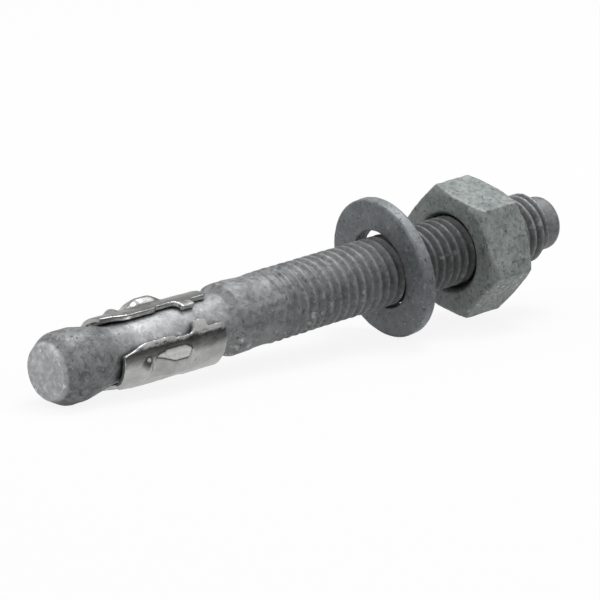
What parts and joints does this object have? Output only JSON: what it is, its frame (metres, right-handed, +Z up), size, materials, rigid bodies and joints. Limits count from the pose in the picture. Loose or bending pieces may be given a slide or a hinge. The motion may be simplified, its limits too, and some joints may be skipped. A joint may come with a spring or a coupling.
{
  "type": "wedge anchor",
  "caption": "Galvanised wedge anchor: stud with tapered nose and rolled thread, stamped expansion clip on its waist, loose washer and hex nut, lying on its side.",
  "frame": {"origin": "on the ground under the middle of the part's box", "axes": "+X along the stud from its nose to its threaded end, as seen from above; +Z up; the stud rises 4.8 degrees towards +X, as it lies on its nose and on the washer's rim"},
  "size_m": [0.0908, 0.0199, 0.0202],
  "materials": {
    "stud": "hot-dip galvanised steel, matt and mottled",
    "expansion_clip": "bright rolled sheet steel",
    "washer": "hot-dip galvanised steel, matt and mottled",
    "hex_nut": "hot-dip galvanised steel, matt and mottled, slightly green-grey"
  },
  "bodies": {
    "stud": {"stud": "stud"},
    "clip": {"expansion_clip": "expansion_clip"},
    "washer": {"washer": "washer"},
    "nut": {"hex_nut": "hex_nut"}
  },
  "joints": [
    {"name": "clip_slide", "type": "slide", "parent": "stud", "child": "clip", "axis": [0.9965, 0, 0.0832], "range_m": [-0.00135, 0.0019]},
    {"name": "washer_slide", "type": "slide", "parent": "stud", "child": "washer", "axis": [0.9965, 0, 0.0832], "range_m": [-0.0295, 0.0092]},
    {"name": "nut_turn", "type": "hinge", "parent": "stud", "child": "nut", "pos_m": [0.02994, 0, 0.01063], "axis": [0.9965, 0, 0.0832], "continuous": true}
  ]
}
